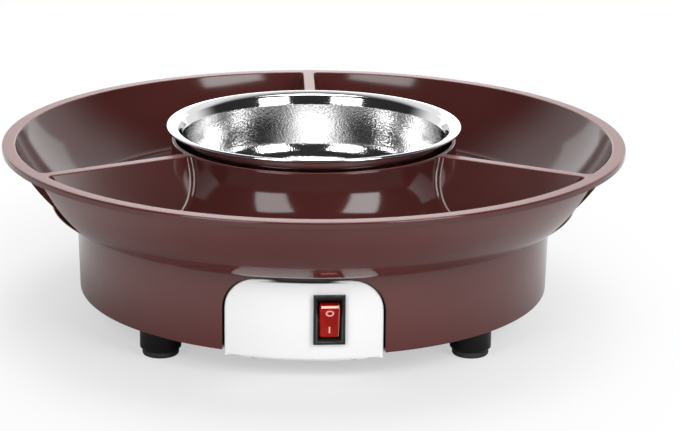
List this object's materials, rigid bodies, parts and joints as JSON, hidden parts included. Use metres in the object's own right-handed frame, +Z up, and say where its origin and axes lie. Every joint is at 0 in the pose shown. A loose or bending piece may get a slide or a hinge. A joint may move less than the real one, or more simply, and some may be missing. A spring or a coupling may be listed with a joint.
{
  "type": "electric chocolate melter",
  "caption": "Round electric chocolate melter: flared housing with a lift-out divided serving tray, a loose steel melting bowl over a heating plate, a rocker switch and rubber feet.",
  "frame": {"origin": "on the table under the axis of the bowl, at the height of the pads' undersides", "axes": "+Z up along the bowl's axis, -Y to the front with the rocker switch, +X to the right seen from there"},
  "size_m": [0.273, 0.273, 0.0843],
  "materials": {
    "brown_plastic": "glossy moulded polypropylene with a fine satin grain",
    "white_plastic": "smooth white moulding",
    "black_plastic": "satin black moulding",
    "black_rubber": "matt rubber",
    "red_lens": "translucent red polycarbonate",
    "lamp_glass": "clear neon lamp",
    "stainless": "polished lip, satin grained inside",
    "cast_aluminium": "machined casting",
    "silicone": "red-brown silicone",
    "element_case": "drawn metal case",
    "zinc_steel": "zinc-plated steel",
    "brass_tabs": "plain brass",
    "nylon_block": "natural nylon",
    "lead_brown": "silicone insulation",
    "lead_white": "silicone insulation",
    "lead_blue": "silicone insulation"
  },
  "bodies": {
    "base": {"housing": "brown_plastic", "bottom_cover": "brown_plastic", "control_panel": "white_plastic", "switch_body": "black_plastic", "cord_gland": "black_plastic", "gland_nut": "black_plastic", "foot_leg_1": "black_plastic", "foot_leg_2": "black_plastic", "foot_leg_3": "black_plastic", "foot_leg_4": "black_plastic", "foot_pad_1": "black_rubber", "foot_pad_2": "black_rubber", "foot_pad_3": "black_rubber", "foot_pad_4": "black_rubber", "heating_plate": "cast_aluminium", "thermostat": "cast_aluminium", "plate_seal": "silicone", "heating_element": "element_case", "plate_screws": "zinc_steel", "clamp_screws": "zinc_steel", "thermostat_screws": "zinc_steel", "fuse_screw": "zinc_steel", "terminal_block_screws": "zinc_steel", "cover_screws": "zinc_steel", "panel_screws": "zinc_steel", "foot_screws": "zinc_steel", "element_clamp": "zinc_steel", "fuse_clip": "zinc_steel", "thermal_fuse": "zinc_steel", "switch_terminals": "brass_tabs", "heater_terminals": "brass_tabs", "terminal_block": "nylon_block", "lead_live": "lead_brown", "lead_switched": "lead_brown", "lead_fuse": "lead_white", "lead_element": "lead_white", "lead_neutral": "lead_blue", "lead_lamp": "lead_blue"},
    "tray": {"serving_tray": "brown_plastic"},
    "bowl": {"melting_bowl": "stainless"},
    "rocker": {"rocker": "red_lens", "switch_lamp": "lamp_glass"}
  },
  "joints": [
    {"name": "tray_lift", "type": "slide", "parent": "base", "child": "tray", "axis": [0, 0, 1], "range_m": [0, 0.06]},
    {"name": "bowl_lift", "type": "slide", "parent": "tray", "child": "bowl", "axis": [0, 0, 1], "range_m": [0, 0.06]},
    {"name": "rocker_tilt", "type": "hinge", "parent": "base", "child": "rocker", "pos_m": [0.00459, -0.10305, 0.0275], "axis": [-0.999, -0.0445, 0], "range_deg": [0, 26]}
  ]
}
